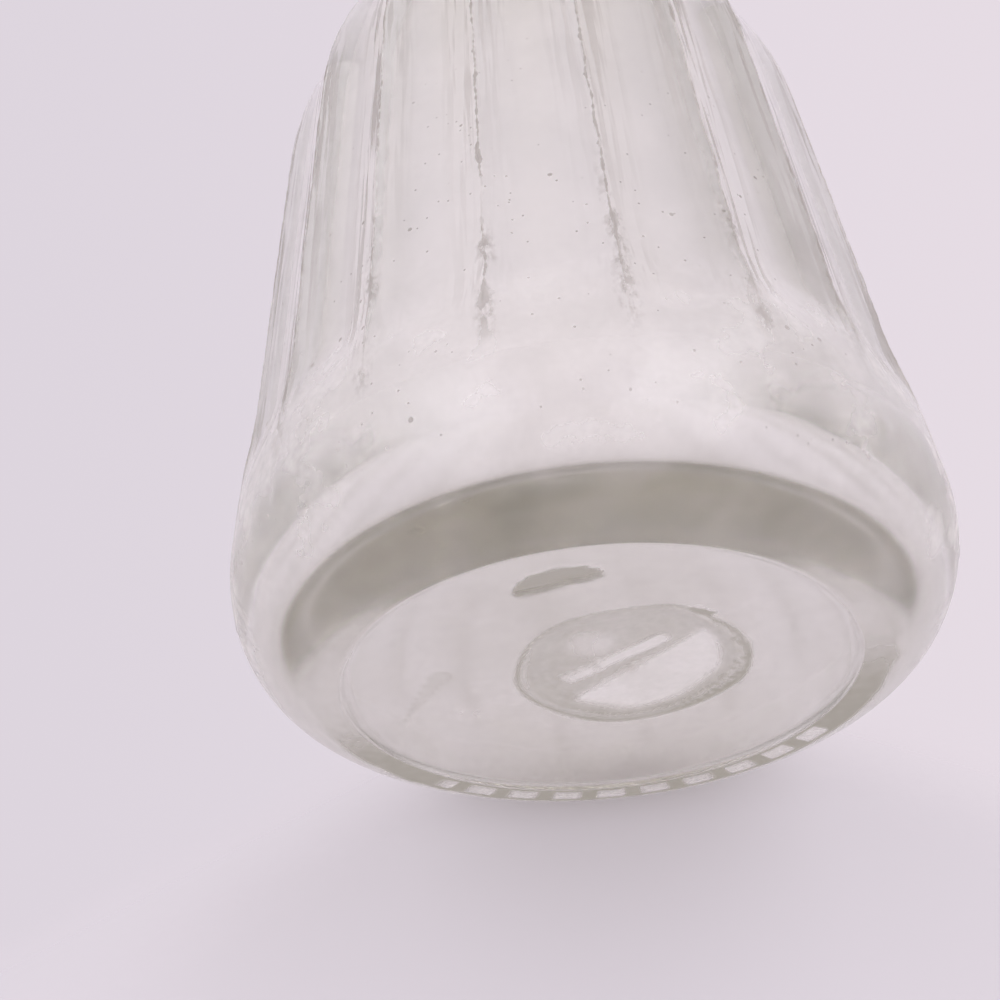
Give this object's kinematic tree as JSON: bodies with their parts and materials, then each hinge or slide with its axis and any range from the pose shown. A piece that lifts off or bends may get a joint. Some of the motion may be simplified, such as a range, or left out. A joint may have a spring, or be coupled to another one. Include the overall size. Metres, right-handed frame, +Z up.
{
  "type": "milk bottle",
  "caption": "Round clear glass milk bottle with vertical flutes, rounded heel, pushed-up base and collared mouth, closed by a waxed paper disc cap with a stapled pull tab.",
  "frame": {"origin": "centre of the ring that the bottle stands on, on the standing plane", "axes": "+Z up along the bottle's axis towards the mouth, -Y to the side that the picture looks at, +X to the right of it"},
  "size_m": [0.098, 0.098, 0.241],
  "materials": {
    "clear_glass": "clear pressed glass, used, with rubbed edges, small bubbles and chill marks",
    "waxed_board": "waxed paperboard, satin",
    "tab_paper": "uncoated kraft-toned paper",
    "staple_wire": "drawn steel wire"
  },
  "bodies": {
    "bottle": {"glass_bottle": "clear_glass"},
    "cap": {"cap_disc": "waxed_board", "tab_foot": "tab_paper", "tab_staple": "staple_wire"},
    "tab": {"tab_tongue": "tab_paper"}
  },
  "joints": [
    {"name": "cap_lift", "type": "slide", "parent": "bottle", "child": "cap", "axis": [0, 0, 1], "range_m": [0, 0.06]},
    {"name": "tab_fold", "type": "hinge", "parent": "cap", "child": "tab", "pos_m": [0, -0.0024, 0.2383], "axis": [-1, 0, 0], "range_deg": [0, 105]}
  ]
}
